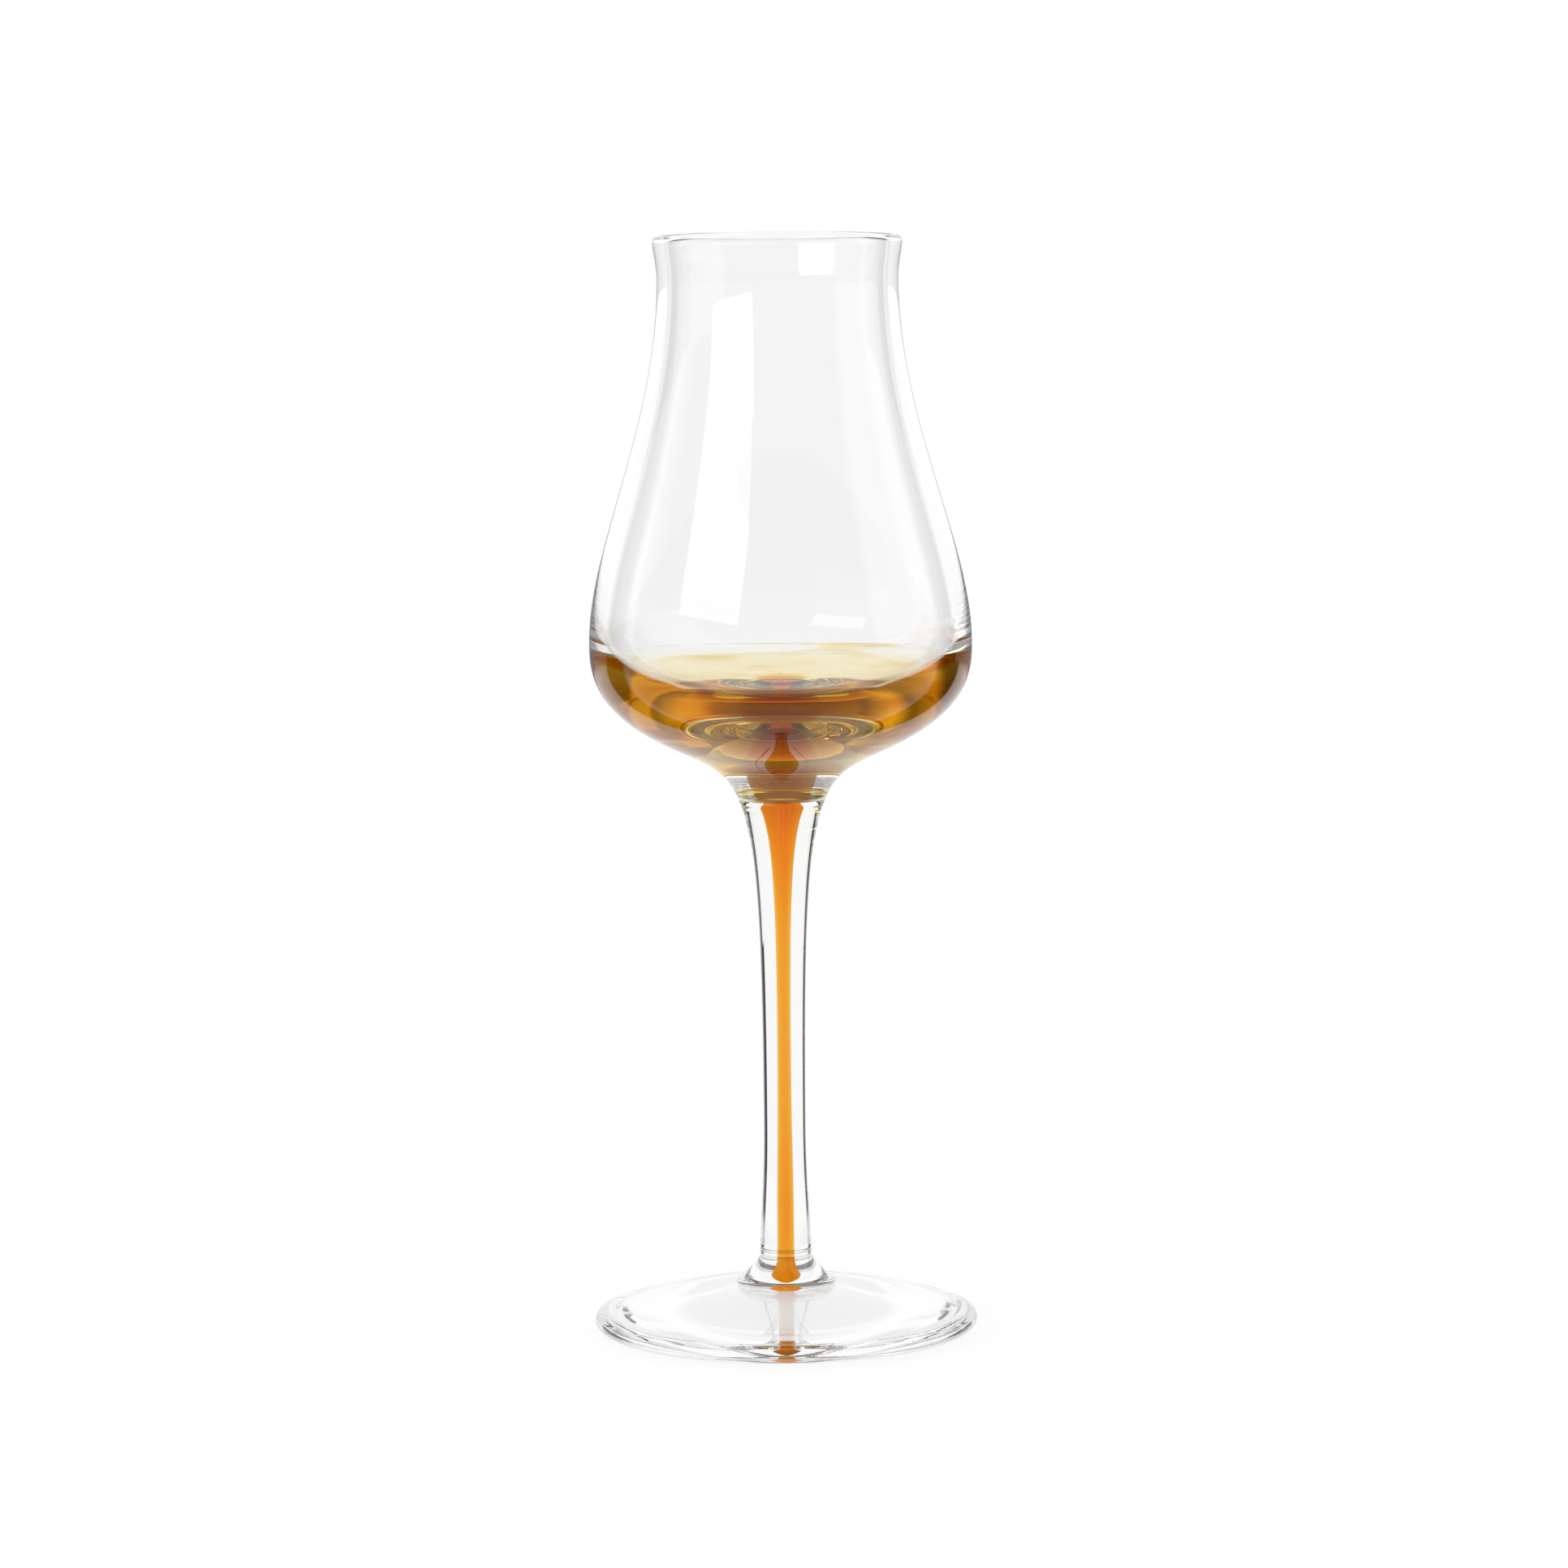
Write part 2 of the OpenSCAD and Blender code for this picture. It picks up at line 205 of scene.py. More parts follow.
amber_under = [
    line(AMBER_EDGE, FEATHER),
    (FEATHER, FEATHER + FEATHER_RUN * (amber_top[0][1] - AMBER_EDGE).normalized(),
     lining[0] - FEATHER_RUN * (lining[1] - lining[0]).normalized(), lining[0]),
    lining,
    (TRUMPET, TRUMPET + TRUMPET_HOLD * (TRUMPET.x - FUNNEL.x) * (TRUMPET - lining[2]).normalized(),
     FUNNEL + FUNNEL_HOLD * (TRUMPET.y - STEM_TOP_Z) * leaning(FUNNEL_FLARE), FUNNEL),
]
stem_polished = [
    (STEM_TOP, STEM_TOP - FLARE_HOLD * (STEM_TOP_Z - STEM_WAIST_Z) * leaning(STEM_FLARE),
     STEM_WAIST + WAIST_HOLD * (STEM_TOP_Z - STEM_WAIST_Z) * UP, STEM_WAIST),
    (STEM_WAIST, STEM_WAIST - BASE_HOLD * STEM_WAIST_H * UP,
     STEM_FOOT + BASE_HOLD / 2 * STEM_WAIST_H * UP, STEM_FOOT),
]
thread_side = [
    (FUNNEL, FUNNEL - FLARE_HOLD * (STEM_TOP_Z - THREAD_WAIST_Z) * leaning(FUNNEL_FLARE),
     THREAD_WAIST + WAIST_HOLD * (STEM_TOP_Z - THREAD_WAIST_Z) * UP, THREAD_WAIST),
    (THREAD_WAIST, THREAD_WAIST - BASE_HOLD * THREAD_WAIST_H * UP,
     THREAD_FOOT + BASE_HOLD * THREAD_WAIST_H * UP, THREAD_FOOT),
]
BEAD_DROP = STEM_FOOT_Z - BEAD_Z
bead_side = [
    (THREAD_FOOT, THREAD_FOOT - CORE_HOLD * BEAD_DROP * UP, BEAD + BEAD_HOLD * BEAD_DROP * UP, BEAD),
    (BEAD, BEAD - TIP_HOLD * (BEAD_Z - BEAD_TIP_Z) * UP, BEAD_TIP + TIP_HOLD * BEAD.x * OUT, BEAD_TIP),
]
knop_polished = [
    (STEM_FOOT, STEM_FOOT - KNOP_HOLD * KNOP_H * UP,
     KNOP_EDGE + SPREAD_HOLD * KNOP_H * along(2 * RIGHT_ANGLE - KNOP_SLOPE), KNOP_EDGE),
    arc(KNOP_CENTRE, KNOP_ROUND, RIGHT_ANGLE - KNOP_SLOPE, 0),
    arc(KNOP_CENTRE, KNOP_ROUND, 0, -KNOP_TUCK),
]
knop_seat = [
    line(KNOP, KNOP_SEAT),
    (KNOP_SEAT, KNOP_SEAT - ROUND_HOLD * KNOP_SUNK * UP, KNOP_END + ROUND_HOLD * KNOP_SEAT.x * OUT, KNOP_END),
]
CROWN_RUN = FOOT_CROWN.x - KNOP.x
RIM_RUN = (FOOT_D - FOOT_CROWN_D) / 2
CROWN_FALL = at(1, -math.tan(math.radians(CROWN_SLOPE)))
EDGE_FALL = at(1, -math.tan(math.radians(EDGE_SLOPE)))
foot_polished = [
    (KNOP, KNOP + CROWN_HOLD * CROWN_RUN * CROWN_FALL,
     FOOT_CROWN - CROWN_HOLD * CROWN_RUN * EDGE_FALL, FOOT_CROWN),
    (FOOT_CROWN, FOOT_CROWN + EDGE_HOLD * RIM_RUN * EDGE_FALL,
     FOOT_BULGE + EDGE_HOLD * (FOOT_EDGE_H - FOOT_BULGE_H) * UP, FOOT_BULGE),
    (FOOT_BULGE, FOOT_BULGE - EDGE_HOLD * FOOT_BULGE_H * UP,
     REST + REST_HOLD * (FOOT_D - REST_D) / 2 * OUT, REST),
    line(REST, REST_RING),
    (REST_RING, REST_RING.lerp(HOLLOW, ROUND_HOLD), HOLLOW + ROUND_HOLD * REST_RING.x * OUT, HOLLOW),
]


# Modelling, as at a lathe: a half section is drawn as a curve and spun round the axis
def drawn(name, strokes):
    bpy.ops.curve.primitive_bezier_curve_add()
    half = bpy.context.object
    half.name = name
    half.data.dimensions = "3D"
    half.data.resolution_u = STROKE_STEPS
    half.matrix_world = Matrix()
    points = half.data.splines[0].bezier_points
    points.add(len(strokes) - 1)
    for i, point in enumerate(points):
        before, after = strokes[max(i - 1, 0)], strokes[min(i, len(strokes) - 1)]
        place = after[0] if i < len(strokes) else before[3]
        toward = (before[2] if i > 0 else place, after[1] if i < len(strokes) else place)
        point.handle_left_type = point.handle_right_type = "FREE"
        point.co = section_point(place)
        point.handle_left, point.handle_right = map(section_point, toward)
    bpy.ops.object.convert(target="MESH")
    return half


def section_point(place):
    return (place.x * MM, 0, place.y * MM)


def spun(name, strokes, material):
    piece = drawn(name, strokes)
    bpy.ops.object.mode_set(mode="EDIT")
    bpy.ops.mesh.select_all(action="SELECT")
    bpy.ops.mesh.spin(steps=TURN_STEPS, angle=FULL_TURN, center=(0, 0, 0), axis=(0, 0, 1))
    close_and_face_out()
    bpy.ops.object.mode_set(mode="OBJECT")
    piece.data.materials.append(material)
    bpy.ops.object.shade_smooth()
    return piece


def close_and_face_out():
    bpy.ops.mesh.select_all(action="SELECT")
    bpy.ops.mesh.remove_doubles(threshold=WELD)
    bpy.ops.mesh.normals_make_consistent(inside=False)


def welded(name, first, second):
    """Two spun skins of one piece, joined at their shared rings into one closed skin."""
    bpy.ops.object.select_all(action="DESELECT")
    first.select_set(True)
    second.select_set(True)
    bpy.context.view_layer.objects.active = first
    bpy.ops.object.join()
    first.name = first.data.name = name
    bpy.ops.object.mode_set(mode="EDIT")
    close_and_face_out()
    bpy.ops.object.mode_set(mode="OBJECT")
    return first


def kept_off(piece, hair):
    """Draws a cased piece in by a hair, so that its skin doesn't lie in its casing's skin."""
    bpy.ops.object.mode_set(mode="EDIT")
    bpy.ops.mesh.select_all(action="SELECT")
    bpy.ops.transform.shrink_fatten(value=-hair)
    bpy.ops.object.mode_set(mode="OBJECT")
    return piece


def hand_over(piece, node):
    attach(piece, "root")
    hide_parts(node)
    piece.select_set(False)


# Materials
WHITE = (1, 1, 1, 1)
GLASS_IOR, LAMP_SHARE = 1.5, (0.9, 0.9, 0.9, 1)

# How fine a noise is outwards, round the axis and upwards, and the levels between which a mark comes in
WAVES, WAVE_DEPTH = (60, 1.5, 45), 1.2e-5
TOOL_MARKS, MARK_DEPTH = (900, 2.5, 200), 1.6e-5
CORDS, CORD_LEVELS = (100, 1.3, 420), (0.48, 0.72)
STREAKS, STREAK_LEVELS = (500, 3, 16), (0.42, 0.66)
# The same along X, Y and Z
PATCHES, PATCH_LEVELS = (60, 60, 60), (0.45, 0.62)
SMUDGES, SMUDGE_LEVELS, SMUDGE_ROUGHNESS = (30, 30, 18), (0.5, 0.8), 0.012
# The tool marks fade out between these heights and between these distances from the axis, in metres
MARK_HEIGHTS, MARK_REACH = (0.0088, 0.0125), (0.022, 0.032)

# What thick glass lets through and how dense it is, and what a cord in the amber lets through
AMBER_TINT, AMBER_DENSITY, CORD_TINT = (0.955, 0.77, 0.0, 1), 380, (0.95, 0.88, 0.68, 1)
CORE_TINT, CORE_DENSITY = (0.985, 0.78, 0.0, 1), 2200
# Colour of the thread by its height in metres, up to its dark top face
CORE_COLOURS = [
    (0.006, (1.0, 0.66, 0.010, 1)), (0.014, (1.0, 0.66, 0.008, 1)), (0.024, (1.0, 0.44, 0.014, 1)),
    (0.036, (1.0, 0.47, 0.022, 1)), (0.072, (1.0, 0.48, 0.022, 1)), (0.081, (1.0, 0.51, 0.012, 1)),
    (0.090, (1.0, 0.54, 0.006, 1)), (0.0976, (1.0, 0.54, 0.006, 1)), (0.0979, (0.20, 0.08, 0.012, 1)),
]
CORE_REACH, CORE_FACE_Z = 0.1, 0.0977
# What a drawn streak keeps of that colour, and how the streaks change the roughness
STREAK_TINT, ROUGH_LEVELS, STREAK_ROUGHNESS = (0.90, 0.74, 0.60, 1), (0.3, 0.7), (0.35, 0.6)
# How cloudy the thread is, the heights in metres between which that changes, and the share that seeps through
THIN_CLOUD, TOP_CLOUD, BEAD_CLOUD = 0.2, 0.5, 0.6
TOP_HEIGHTS, BEAD_HEIGHTS, SEEPING = (0.075, 0.098), (0.011, 0.016), 0.5


class Wiring:
    """The nodes of a material or of the world, and the wires between them."""

    def __init__(self, tree):
        self.tree = tree
        tree.nodes.clear()

    def add(self, kind, inputs, **settings):
        """A new node with its settings, and with values or wires on some of its inputs."""
        node = self.tree.nodes.new("ShaderNode" + kind)
        for name, value in settings.items():
            setattr(node, name, value)
        for name, value in inputs.items():
            if isinstance(value, bpy.types.NodeSocket):
                self.tree.links.new(value, node.inputs[name])
            else:
                node.inputs[name].default_value = value
        return node

    def place(self):
        return self.add("TexCoord", {}).outputs["Object"]

    def light_path(self):
        return self.add("LightPath", {}).outputs

    def parts_of(self, place):
        return self.add("SeparateXYZ", {0: place}).outputs

    def reckon(self, operation, *values):
        return self.add("Math", dict(enumerate(values)), operation=operation).outputs[0]

    def distance(self, x, y):
        return self.reckon("SQRT", self.reckon("MULTIPLY_ADD", x, x, self.reckon("MULTIPLY", y, y)))

    def between(self, share, a, b):
        return self.add("Mix", {0: share, 2: a, 3: b}).outputs[0]

    def tinted(self, share, colour, tint, way="MIX"):
        return self.add("Mix", {0: share, 6: colour, 7: tint}, data_type="RGBA", blend_type=way).outputs[2]

    def slope(self, value, low, high, at_low, at_high, kind="SMOOTHSTEP"):
        ends = {"From Min": low, "From Max": high, "To Min": at_low, "To Max": at_high}
        return self.add("MapRange", {"Value": value, **ends}, interpolation_type=kind).outputs["Result"]

    def ramp(self, value, stops):
        """The colour and the alpha that go with a value. A stop is a value and its four channels."""
        node = self.add("ValToRGB", {0: value})
        elements = node.color_ramp.elements
        while len(elements) < len(stops):
            elements.new(0.5)
        for element, (position, channels) in zip(elements, stops):
            element.position = position
            element.color = channels
        return node.outputs

    def noise(self, place, fineness, detail):
        """Soft noise between 0 and 1."""
        scaled = self.add("VectorMath", {0: place, 1: fineness}, operation="MULTIPLY").outputs["Vector"]
        return self.add("TexNoise", {"Vector": scaled, "Scale": 1, "Detail": detail}).outputs[0]

    def ring_noise(self, place, fineness, detail):
        """Soft noise that runs round the axis without a seam."""
        outwards, around, upwards = fineness
        x, y, z = self.parts_of(place)
        away = self.distance(x, y)
        ring = self.add("CombineXYZ", {
            "X": self.reckon("MULTIPLY", away, outwards),
            "Y": self.reckon("MULTIPLY", self.reckon("DIVIDE", x, away), around),
            "Z": self.reckon("MULTIPLY", z, upwards),
        }).outputs["Vector"]
        inputs = {"Vector": ring, "W": self.reckon("MULTIPLY", self.reckon("DIVIDE", y, away), around)}
        inputs.update({"Scale": 1, "Detail": detail})
        return self.add("TexNoise", inputs, noise_dimensions="4D").outputs[0]

    def open_face(self, colour=WHITE):
        return self.add("BsdfTransparent", {"Color": colour}).outputs["BSDF"]

    def colour_depth(self, tint, density):
        return self.add("VolumeAbsorption", {"Color": tint, "Density": density}).outputs["Volume"]

    def blend(self, share, a, b):
        return self.add("MixShader", {"Fac": share, 1: a, 2: b}).outputs["Shader"]


def fresh(name):
    material = bpy.data.materials.new(name)
    material.use_nodes = True
    return material, Wiring(material.node_tree)


def tool_marks(wires, place):
    """Fine rings that the tools have left on the foot, in patches."""
    x, y, z = wires.parts_of(place)
    patches = wires.slope(wires.noise(place, PATCHES, 0), *PATCH_LEVELS, 0.0, 1.0)
    on_foot = wires.slope(z, *MARK_HEIGHTS, 1.0, 0.0)
    inner = wires.slope(wires.distance(x, y), *MARK_REACH, 1.0, 0.0)
    marked = wires.reckon("MULTIPLY", on_foot, wires.reckon("MULTIPLY", inner, patches))
    return wires.reckon("MULTIPLY", wires.ring_noise(place, TOOL_MARKS, 2), marked)


def worked_surface(wires):
    """Bump and roughness of hand-blown glass: slow waves, tool marks and a finger's smudges."""
    place = wires.place()
    waves = wires.reckon("MULTIPLY", wires.ring_noise(place, WAVES, 1), WAVE_DEPTH)
    height = wires.reckon("MULTIPLY_ADD", tool_marks(wires, place), MARK_DEPTH, waves)
    bump = wires.add("Bump", {"Distance": 1, "Height": height}).outputs["Normal"]
    roughness = wires.slope(wires.noise(place, SMUDGES, 3), *SMUDGE_LEVELS, 0.0, SMUDGE_ROUGHNESS)
    return bump, roughness


def clear_glass():
    """Clear glass. Light from lamps crosses it unbent, so that what lies inside it and behind it is lit."""
    material, wires = fresh("clear_glass")
    normal, roughness = worked_surface(wires)
    surface = {"Base Color": WHITE, "Roughness": roughness, "Normal": normal}
    surface.update({"Transmission Weight": 1, "IOR": GLASS_IOR})
    glass = wires.add("BsdfPrincipled", surface).outputs["BSDF"]
    unbent = wires.open_face(LAMP_SHARE)
    path = wires.light_path()
    lit = wires.blend(path["Is Shadow Ray"], glass, unbent)
    lit = wires.blend(path["Is Diffuse Ray"], lit, unbent)
    wires.add("OutputMaterial", {"Surface": lit})
    return material


def fused_face():
    """The face where two glasses have flowed into each other: nothing shows there."""
    material, wires = fresh("fused_face")
    wires.add("OutputMaterial", {"Surface": wires.open_face()})
    return material


def amber_glass():
    """Amber whose colour deepens with its thickness, with soft cords in it."""
    material, wires = fresh("amber_glass")
    cords = wires.slope(wires.ring_noise(wires.place(), CORDS, 2), *CORD_LEVELS, 0.0, 1.0)
    face = wires.open_face(wires.tinted(cords, WHITE, CORD_TINT))
    depth = wires.colour_depth(AMBER_TINT, AMBER_DENSITY)
    wires.add("OutputMaterial", {"Surface": face, "Volume": depth})
    return material


def streaked_cloud(wires, place, height):
    """The cloud in the thread, which bounces light and lets it seep through. Drawn streaks run along it."""
    stops = [(level / CORE_REACH, colour) for level, colour in CORE_COLOURS]
    colour = wires.ramp(wires.reckon("DIVIDE", height, CORE_REACH), stops)["Color"]
    streaks = wires.ring_noise(place, STREAKS, 2)
    colour = wires.tinted(wires.slope(streaks, *STREAK_LEVELS, 0.0, 1.0), colour, STREAK_TINT, "MULTIPLY")
    roughness = wires.slope(streaks, *ROUGH_LEVELS, *STREAK_ROUGHNESS)
    surface = {"Base Color": colour, "Roughness": roughness, "Specular IOR Level": 0}
    front = wires.add("BsdfPrincipled", surface).outputs["BSDF"]
    through = wires.add("BsdfTranslucent", {"Color": colour}).outputs["BSDF"]
    return wires.blend(SEEPING, front, through)


def orange_glass():
    """Dense orange glass, cloudier towards the top of the thread and in the bead."""
    material, wires = fresh("orange_glass")
    place = wires.place()
    height = wires.parts_of(place)["Z"]
    cloudy = wires.slope(height, *TOP_HEIGHTS, THIN_CLOUD, TOP_CLOUD, "LINEAR")
    at_top = wires.reckon("GREATER_THAN", height, CORE_FACE_Z)
    in_bead = wires.slope(height, *BEAD_HEIGHTS, BEAD_CLOUD, THIN_CLOUD)
    cloudy = wires.reckon("MAXIMUM", cloudy, wires.reckon("MAXIMUM", at_top, in_bead))
    face = wires.blend(cloudy, wires.open_face(), streaked_cloud(wires, place, height))
    depth = wires.colour_depth(CORE_TINT, CORE_DENSITY)
    wires.add("OutputMaterial", {"Surface": face, "Volume": depth})
    return material


CLEAR = clear_glass()
FUSED = fused_face()
AMBER = amber_glass()
ORANGE = orange_glass()

# The six pieces
bowl = welded(
    "bowl_glass",
    spun("bowl_polished", bowl_polished, CLEAR),
    spun("bowl_fused", back(amber_top) + amber_under + [line(FUNNEL, STEM_TOP)], FUSED),
)
hand_over(bowl, "bowl")

amber_section = back(amber_top) + amber_under + [line(FUNNEL, FUNNEL_MIDDLE)]
amber = kept_off(spun("amber_gather", amber_section, AMBER), HAIR)
hand_over(amber, "amber_base")

thread_section = [line(FUNNEL_MIDDLE, FUNNEL)] + thread_side + bead_side
thread = kept_off(spun("orange_thread", thread_section, ORANGE), HAIR)
hand_over(thread, "amber_thread")

stem = welded(
    "stem_glass",
    spun("stem_polished", stem_polished, CLEAR),
    spun("stem_fused", [line(STEM_TOP, FUNNEL)] + thread_side + [line(THREAD_FOOT, STEM_FOOT)], FUSED),
)
hand_over(stem, "stem")

knop = welded(
    "knop_glass",
    spun("knop_polished", knop_polished, CLEAR),
    welded(
        "knop_fused",
        spun("knop_fused_top", [line(STEM_FOOT, THREAD_FOOT)] + bead_side, FUSED),
        spun("knop_fused_seat", knop_seat, FUSED),
    ),
)
hand_over(knop, "foot_knop")

foot = welded(
    "foot_glass",
    spun("foot_polished", foot_polished, CLEAR),
    spun("foot_fused", back(knop_seat), FUSED),
)
hand_over(foot, "foot")


# Stage: a white studio, with dim stretches at both sides that show only in the glass
SWEEP = [
    # (azimuth in degrees, where 0 is behind the glass and 90 is its right side; brightness in solid clear
    # glass, in the walls of the bowl and in the amber; 1 where it is the room)
    (-180, 1.0, 1.0, 0.4, 1), (-82, 1.0, 1.0, 0.4, 1), (-78, 1.0, 1.0, 0.4, 0), (-73, 0.95, 0.9, 0.85, 0),
    (-70, 0.01, 0.3, 0.85, 0), (-53, 0.01, 0.3, 0.3, 0), (-50, 1.0, 0.9, 0.35, 0), (-43, 1.0, 1.0, 1.0, 0),
    (-40, 1.0, 0.7, 1.0, 0), (-29, 1.0, 0.7, 0.3, 0), (-25, 1.0, 1.0, 0.4, 0), (-10, 1.0, 1.0, 0.25, 0),
    (10, 1.0, 1.0, 0.25, 0), (22, 1.0, 1.0, 0.5, 0), (28, 1.0, 0.6, 1.0, 0), (36, 1.0, 0.48, 1.0, 0),
    (47, 1.0, 0.7, 0.4, 0), (50, 1.0, 0.9, 0.4, 0), (52, 0.01, 0.3, 0.85, 0), (68, 0.01, 0.3, 0.85, 0),
    (71, 0.95, 0.9, 0.3, 0), (78, 1.0, 1.0, 0.3, 0), (118, 1.0, 1.0, 0.45, 0), (124, 1.0, 1.0, 0.45, 1),
    (180, 1.0, 1.0, 0.45, 1),
]
NEAR_FLOOR = [
    # The floor near the glass, in rows of the same form
    (-180, 1.0, 1.0, 1.0, 1), (-82, 1.0, 1.0, 1.0, 1), (-74, 1.0, 1.0, 1.0, 0), (-71, 0.01, 1.0, 0.6, 0),
    (-52, 0.01, 1.0, 0.6, 0), (-49, 1.0, 1.0, 1.0, 0), (43, 1.0, 1.0, 1.0, 0), (46, 0.01, 1.0, 0.6, 0),
    (71, 0.01, 1.0, 0.6, 0), (74, 1.0, 1.0, 1.0, 0), (88, 1.0, 1.0, 1.0, 1), (180, 1.0, 1.0, 1.0, 1),
]
# Least number of skins or faces that light has crossed: for the bowl's walls, for the amber, and for the lid
WALL_SKINS, AMBER_FACES, LID_SKINS = 3, 4, 2
# What the gloss on the glass shows of the room's light and of the far floor's
ROOM_IN_GLOSS, FLOOR_IN_GLOSS = 0.4, 0.3
# Brightness of the studio to what isn't glass, and of the floor under the foot to the glass
LAMP_LEVEL, UNDER_FOOT = 1.0, 0.84
PAINTED_BROWN_REFLECTION = [
    # (distance from the axis in metres, colour): a painted dark brown reflection, the colour that the floor
    # shows only to mirrored light that has crossed the amber
    (0.0, (0.13, 0.07, 0.05, 1)), (0.10, (0.16, 0.09, 0.06, 1)), (0.22, (0.45, 0.29, 0.16, 1)),
    (0.45, (0.62, 0.46, 0.31, 1)), (0.75, (0.80, 0.70, 0.58, 1)), (0.95, (0.90, 0.85, 0.80, 1)),
]
# Distances from the axis in metres, between which one stretch of the floor gives way to the next
UNDER_FOOT_END, NEAR_END = (0.066, 0.082), (0.80, 0.90)
GLOSS_END, SHADOW_END = (0.60, 0.90), (0.03, 0.20)
PAPER_WHITE, SHADOW_GLOW = (0.95, 0.95, 0.95, 1), 0.75
PAPER_R, PAPER_Z, PAPER_SIDES = 8, -0.0002, 96
# The lid is painted shade: a glowing dark brown disc over the glass, seen only through the amber
LID_R, LID_Z, LID_SIDES, LID_PAINTED_SHADE = 0.40, 0.71, 48, (0.30, 0.16, 0.10, 1)
LAMP_TARGET = Vector((0, 0, 0.15))
CAMERA_PLACE, CAMERA_LENS, CAMERA_SENSOR = (0.0004, -1.1625, 0.2331), 148.0, 36
PITCH, ROLL = math.radians(6.5), math.radians(-0.5)
MOST_BOUNCES, MOST_FACES = 120, 240


def met(wires, path, count, least):
    """1 for light that has met at least so many skins or faces, by one of the counts of its path."""
    return wires.reckon("GREATER_THAN", path[count], least - 0.5)


def mirrored(wires, path):
    return met(wires, path, "Glossy Depth", 1)


def through_amber(wires, path):
    return met(wires, path, "Transparent Depth", AMBER_FACES)


def sweep_level(wires, levels, place, path):
    """Brightness of the studio towards a place round the axis, as glass and gloss see it."""
    x, y, z = wires.parts_of(place)
    turn = wires.reckon("MULTIPLY_ADD", wires.reckon("ARCTAN2", x, y), 1 / FULL_TURN, 0.5)
    colour, room = wires.ramp(turn, [(azimuth / 360 + 0.5, channels) for azimuth, *channels in levels])
    in_solid, in_wall, in_amber = wires.add("SeparateColor", {0: colour}).outputs
    amber, turned = through_amber(wires, path), mirrored(wires, path)
    level = wires.between(met(wires, path, "Transmission Depth", WALL_SKINS), in_solid, in_wall)
    level = wires.reckon("MAXIMUM", level, amber)
    level = wires.between(wires.reckon("MULTIPLY", amber, turned), level, in_amber)
    dimmed = wires.between(room, 1.0, ROOM_IN_GLOSS)
    return wires.reckon("MULTIPLY", level, wires.between(turned, 1.0, dimmed))


def white_world():
    world = bpy.data.worlds.new("white_studio")
    world.use_nodes = True
    wires = Wiring(world.node_tree)
    path = wires.light_path()
    level = sweep_level(wires, SWEEP, wires.add("TexCoord", {}).outputs["Generated"], path)
    in_glass = wires.reckon("MAXIMUM", path["Is Transmission Ray"], path["Is Glossy Ray"])
    level = wires.between(in_glass, LAMP_LEVEL, level)
    level = wires.between(path["Is Camera Ray"], level, 1.0)
    light = wires.add("Background", {"Color": WHITE, "Strength": level}).outputs["Background"]
    wires.add("OutputWorld", {"Surface": light})
    bpy.context.scene.world = world


def floor_level(wires, place, away, path):
    """Brightness of the floor as the glass sees it: under the foot, near it and far off."""
    near = sweep_level(wires, NEAR_FLOOR, place, path)
    near = wires.between(wires.slope(away, *UNDER_FOOT_END, 0.0, 1.0), UNDER_FOOT, near)
    far = sweep_level(wires, SWEEP, place, path)
    level = wires.between(wires.slope(away, *NEAR_END, 0.0, 1.0), near, far)
    outside = wires.reckon("LESS_THAN", path["Transmission Depth"], 0.5)
    on_skin = wires.reckon("MULTIPLY", outside, mirrored(wires, path))
    dim = wires.slope(away, *GLOSS_END, 1.0, FLOOR_IN_GLOSS)
    return wires.reckon("MULTIPLY", level, wires.between(on_skin, 1.0, dim))


def white_paper():
    """The floor's paper, which glows white and takes a soft shadow near the foot. To mirrored light that has
    crossed the amber it shows a painted dark brown reflection near the glass.
    """
    material, wires = fresh("white_floor")
    path = wires.light_path()
    seen = path["Is Camera Ray"]
    place = wires.place()
    away = wires.add("VectorMath", {0: place}, operation="LENGTH").outputs["Value"]
    # Painted reflection: where mirrored light has crossed the amber, the floor shows dark brown near the
    # glass and paler further off
    painted_reflection_share = wires.reckon("MULTIPLY", mirrored(wires, path), through_amber(wires, path))
    colour = wires.tinted(painted_reflection_share, WHITE, wires.ramp(away, PAINTED_BROWN_REFLECTION)["Color"])
    level = wires.between(seen, floor_level(wires, place, away, path), 1.0)
    glow = wires.add("Emission", {"Color": colour, "Strength": level}).outputs["Emission"]
    paper = wires.add("BsdfDiffuse", {"Color": PAPER_WHITE}).outputs["BSDF"]
    glowing = wires.between(seen, 1.0, wires.slope(away, *SHADOW_END, SHADOW_GLOW, 1.0))
    wires.add("OutputMaterial", {"Surface": wires.blend(glowing, paper, glow)})
    return material


def painted_shade_lid():
    """Painted shade: a dark brown glow that shows only to light that has come up through the amber in the
    base of the bowl.
    """
    material, wires = fresh("dark_lid")
    path = wires.light_path()
    glow = wires.add("Emission", {"Color": LID_PAINTED_SHADE}).outputs["Emission"]
    deep = met(wires, path, "Transmission Depth", LID_SKINS)
    shown = wires.reckon("MULTIPLY", deep, through_amber(wires, path))
    wires.add("OutputMaterial", {"Surface": wires.blend(shown, wires.open_face(), glow)})
    return material


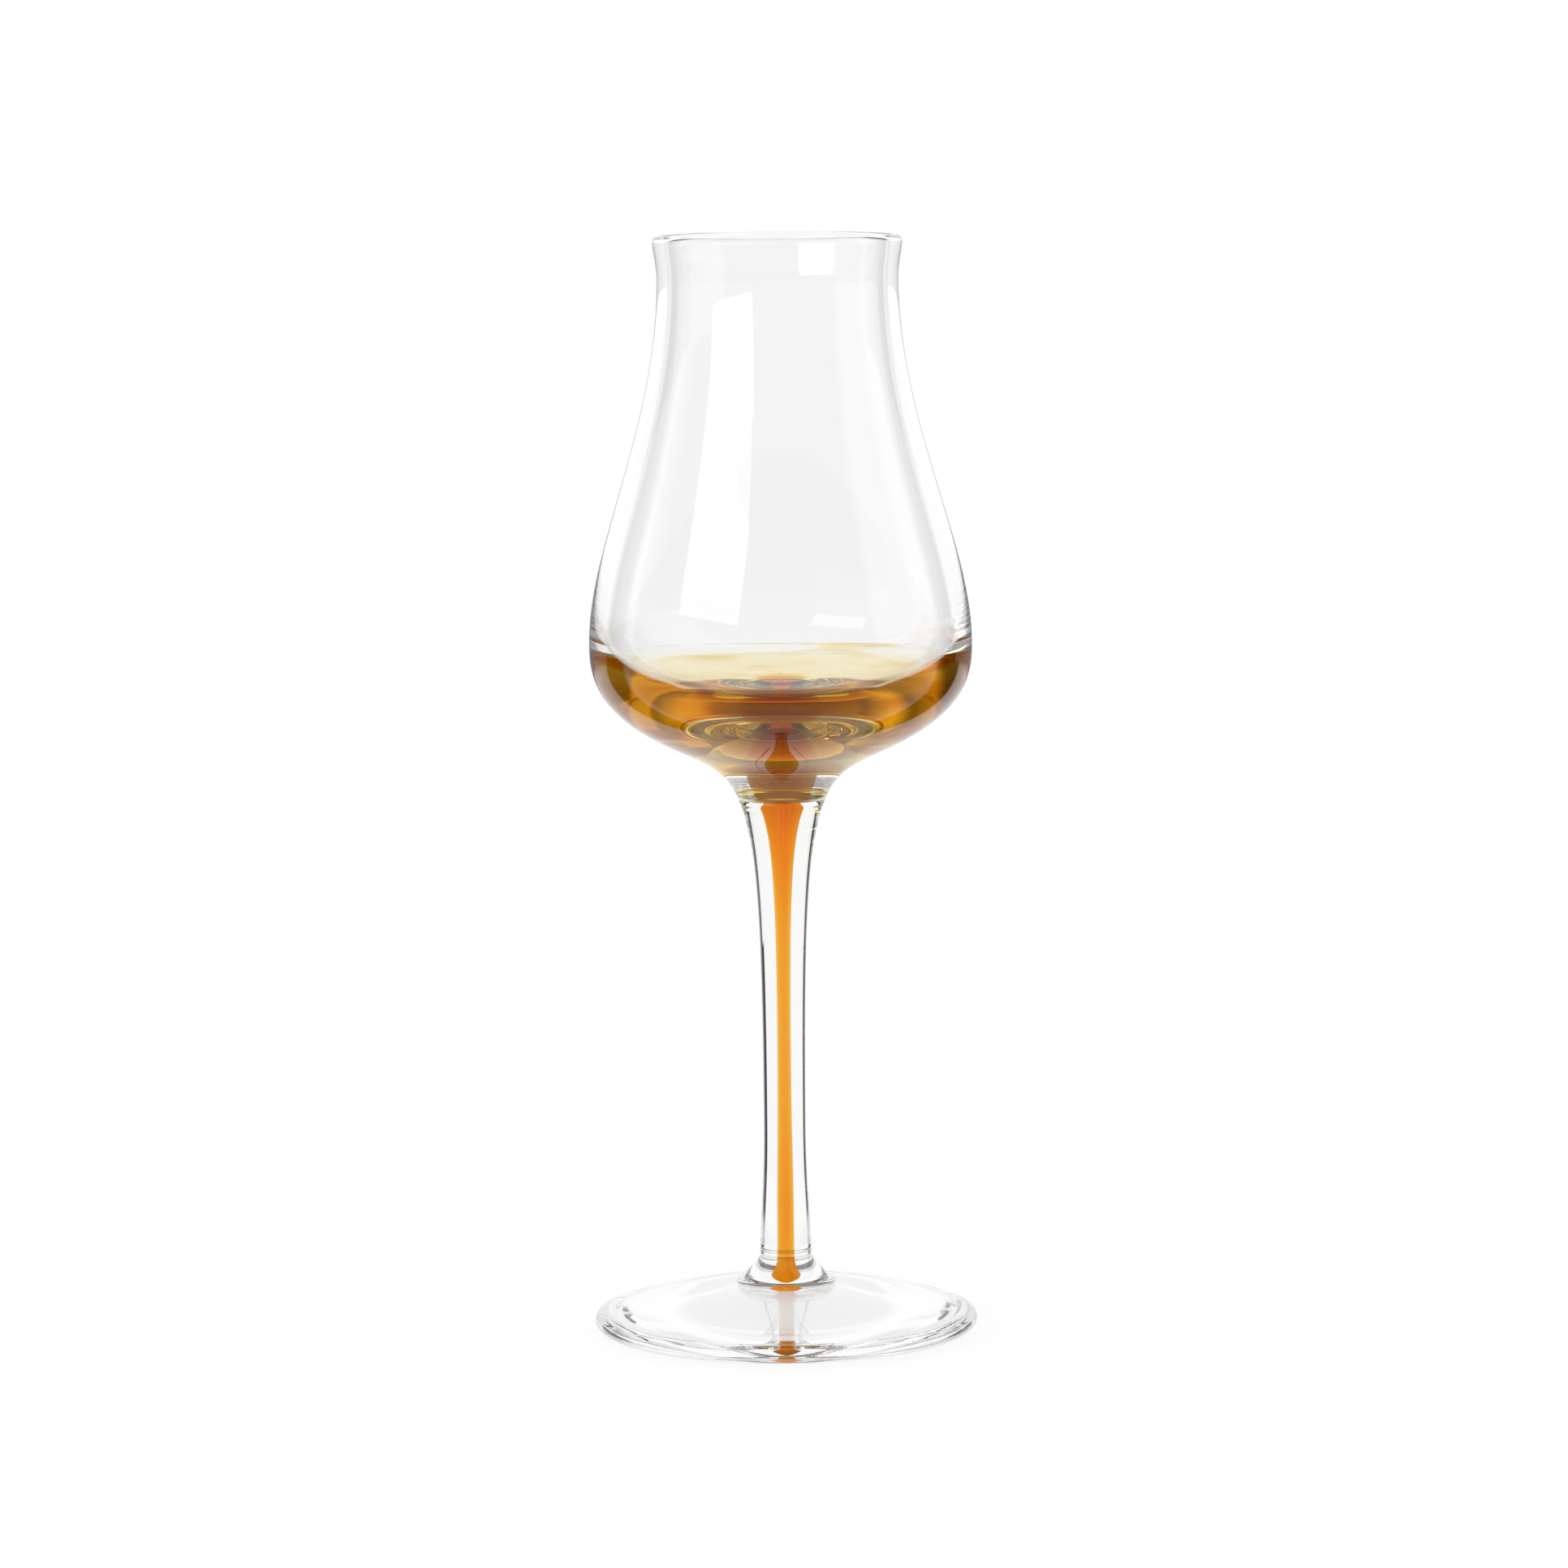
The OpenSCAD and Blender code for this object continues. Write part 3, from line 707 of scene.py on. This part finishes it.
def round_card(name, radius, height, sides, material):
    bpy.ops.mesh.primitive_circle_add(vertices=sides, radius=radius, fill_type="NGON", location=(0, 0, 0))
    card = bpy.context.object
    card.name = name
    bpy.ops.object.mode_set(mode="EDIT")
    bpy.ops.transform.translate(value=(0, 0, height))
    bpy.ops.object.mode_set(mode="OBJECT")
    card.data.materials.append(material)
    return card


def softbox(name, azimuth, elevation, distance, width, height, level, roll):
    """Azimuth counts from the camera's side, to its right. level is the radiance, where 1 is paper white."""
    a, e = math.radians(azimuth), math.radians(elevation)
    towards = Vector((math.sin(a) * math.cos(e), -math.cos(a) * math.cos(e), math.sin(e)))
    bpy.ops.object.light_add(type="AREA", location=LAMP_TARGET + distance * towards)
    lamp = bpy.context.object
    lamp.name = name
    lamp.data.shape = "RECTANGLE"
    lamp.data.size, lamp.data.size_y = width, height
    lamp.data.energy = level * math.pi * width * height
    facing = (-towards).to_track_quat("-Z", "Y").to_matrix()
    lamp.rotation_euler = (facing @ Matrix.Rotation(math.radians(roll), 3, "Z")).to_euler()
    lamp.visible_camera = False


def camera():
    data = bpy.data.cameras.new("camera")
    data.sensor_width = CAMERA_SENSOR
    data.lens = CAMERA_LENS
    stand = bpy.data.objects.new("camera", data)
    bpy.context.collection.objects.link(stand)
    stand.location = CAMERA_PLACE
    tilt = Matrix.Rotation(math.pi / 2 - PITCH, 3, "X")
    stand.rotation_euler = (tilt @ Matrix.Rotation(ROLL, 3, "Z")).to_euler()
    bpy.context.scene.camera = stand


white_world()
round_card("floor", PAPER_R, PAPER_Z, PAPER_SIDES, white_paper())
# Painted shade over the glass, hidden from the camera, from bounced light and from shadows
lid = round_card("dark_lid", LID_R, LID_Z, LID_SIDES, painted_shade_lid())
lid.visible_camera = lid.visible_diffuse = lid.visible_shadow = False
softbox("softbox_left", azimuth=-43, elevation=18.5, distance=0.38,
        width=0.26, height=0.15, level=2.2, roll=-2)
camera()

scene = bpy.context.scene
scene.view_settings.view_transform = "Standard"
scene.cycles.max_bounces = MOST_BOUNCES
scene.cycles.transmission_bounces = MOST_BOUNCES
scene.cycles.glossy_bounces = MOST_BOUNCES
scene.cycles.transparent_max_bounces = MOST_FACES
scene.cycles.caustics_reflective = False
scene.cycles.caustics_refractive = False
